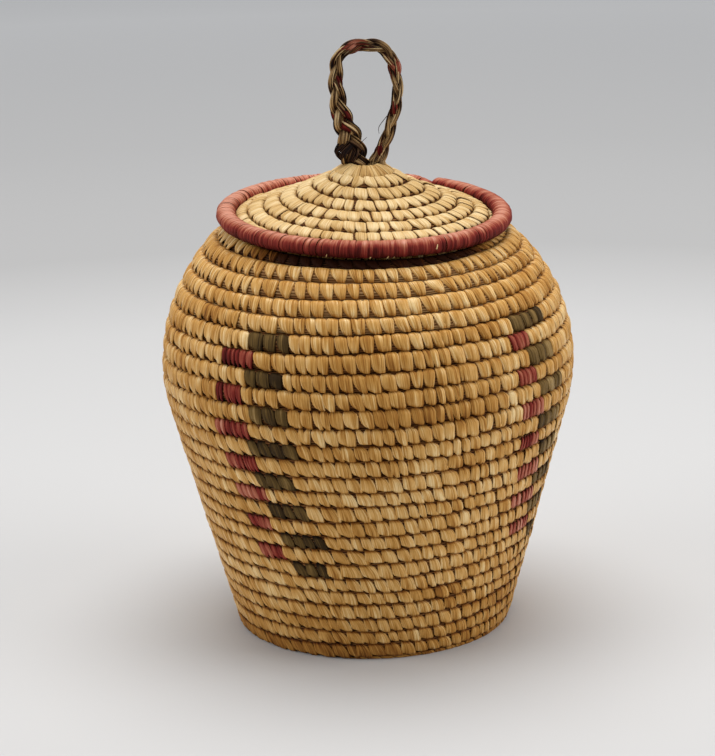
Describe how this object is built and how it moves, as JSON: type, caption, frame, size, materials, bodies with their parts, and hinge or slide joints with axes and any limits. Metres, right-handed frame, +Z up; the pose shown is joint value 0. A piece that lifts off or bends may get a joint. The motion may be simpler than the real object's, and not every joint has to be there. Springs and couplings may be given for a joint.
{
  "type": "lidded grass basket",
  "caption": "Round-bellied basket of coiled grass with stepped dyed columns, and a low cone lid that lifts off by a plaited loop",
  "frame": {"origin": "on the ground below the middle of the basket", "axes": "+Z up, -Y the side in the picture, +X to its right"},
  "size_m": [0.1784, 0.1792, 0.257],
  "materials": {
    "natural_grass": "dry split grass sewn over a grass bundle, matt with a faint sheen",
    "red_grass": "split grass dyed brick red, faded, close stitches",
    "plaited_grass": "plaited blades, tan, brown and red mixed"
  },
  "bodies": {
    "basket": {"base_start_knot": "natural_grass", "base_coil": "natural_grass", "wall_foot_coil": "natural_grass", "wall_lower_band_coil": "natural_grass", "wall_upper_band_coil": "natural_grass", "wall_shoulder_coil": "natural_grass", "mouth_coil": "natural_grass"},
    "lid": {"lid_start_ring": "natural_grass", "lid_coil": "natural_grass", "lid_rim_coil": "red_grass", "lid_flange_coil": "natural_grass", "loop_strand_a": "plaited_grass", "loop_strand_b": "plaited_grass", "loop_strand_c": "plaited_grass", "loop_tail_knot": "plaited_grass"}
  },
  "joints": [
    {"name": "lid_lift", "type": "slide", "parent": "basket", "child": "lid", "axis": [0.0294, -0.0577, 0.9979], "range_m": [0, 0.12]}
  ]
}
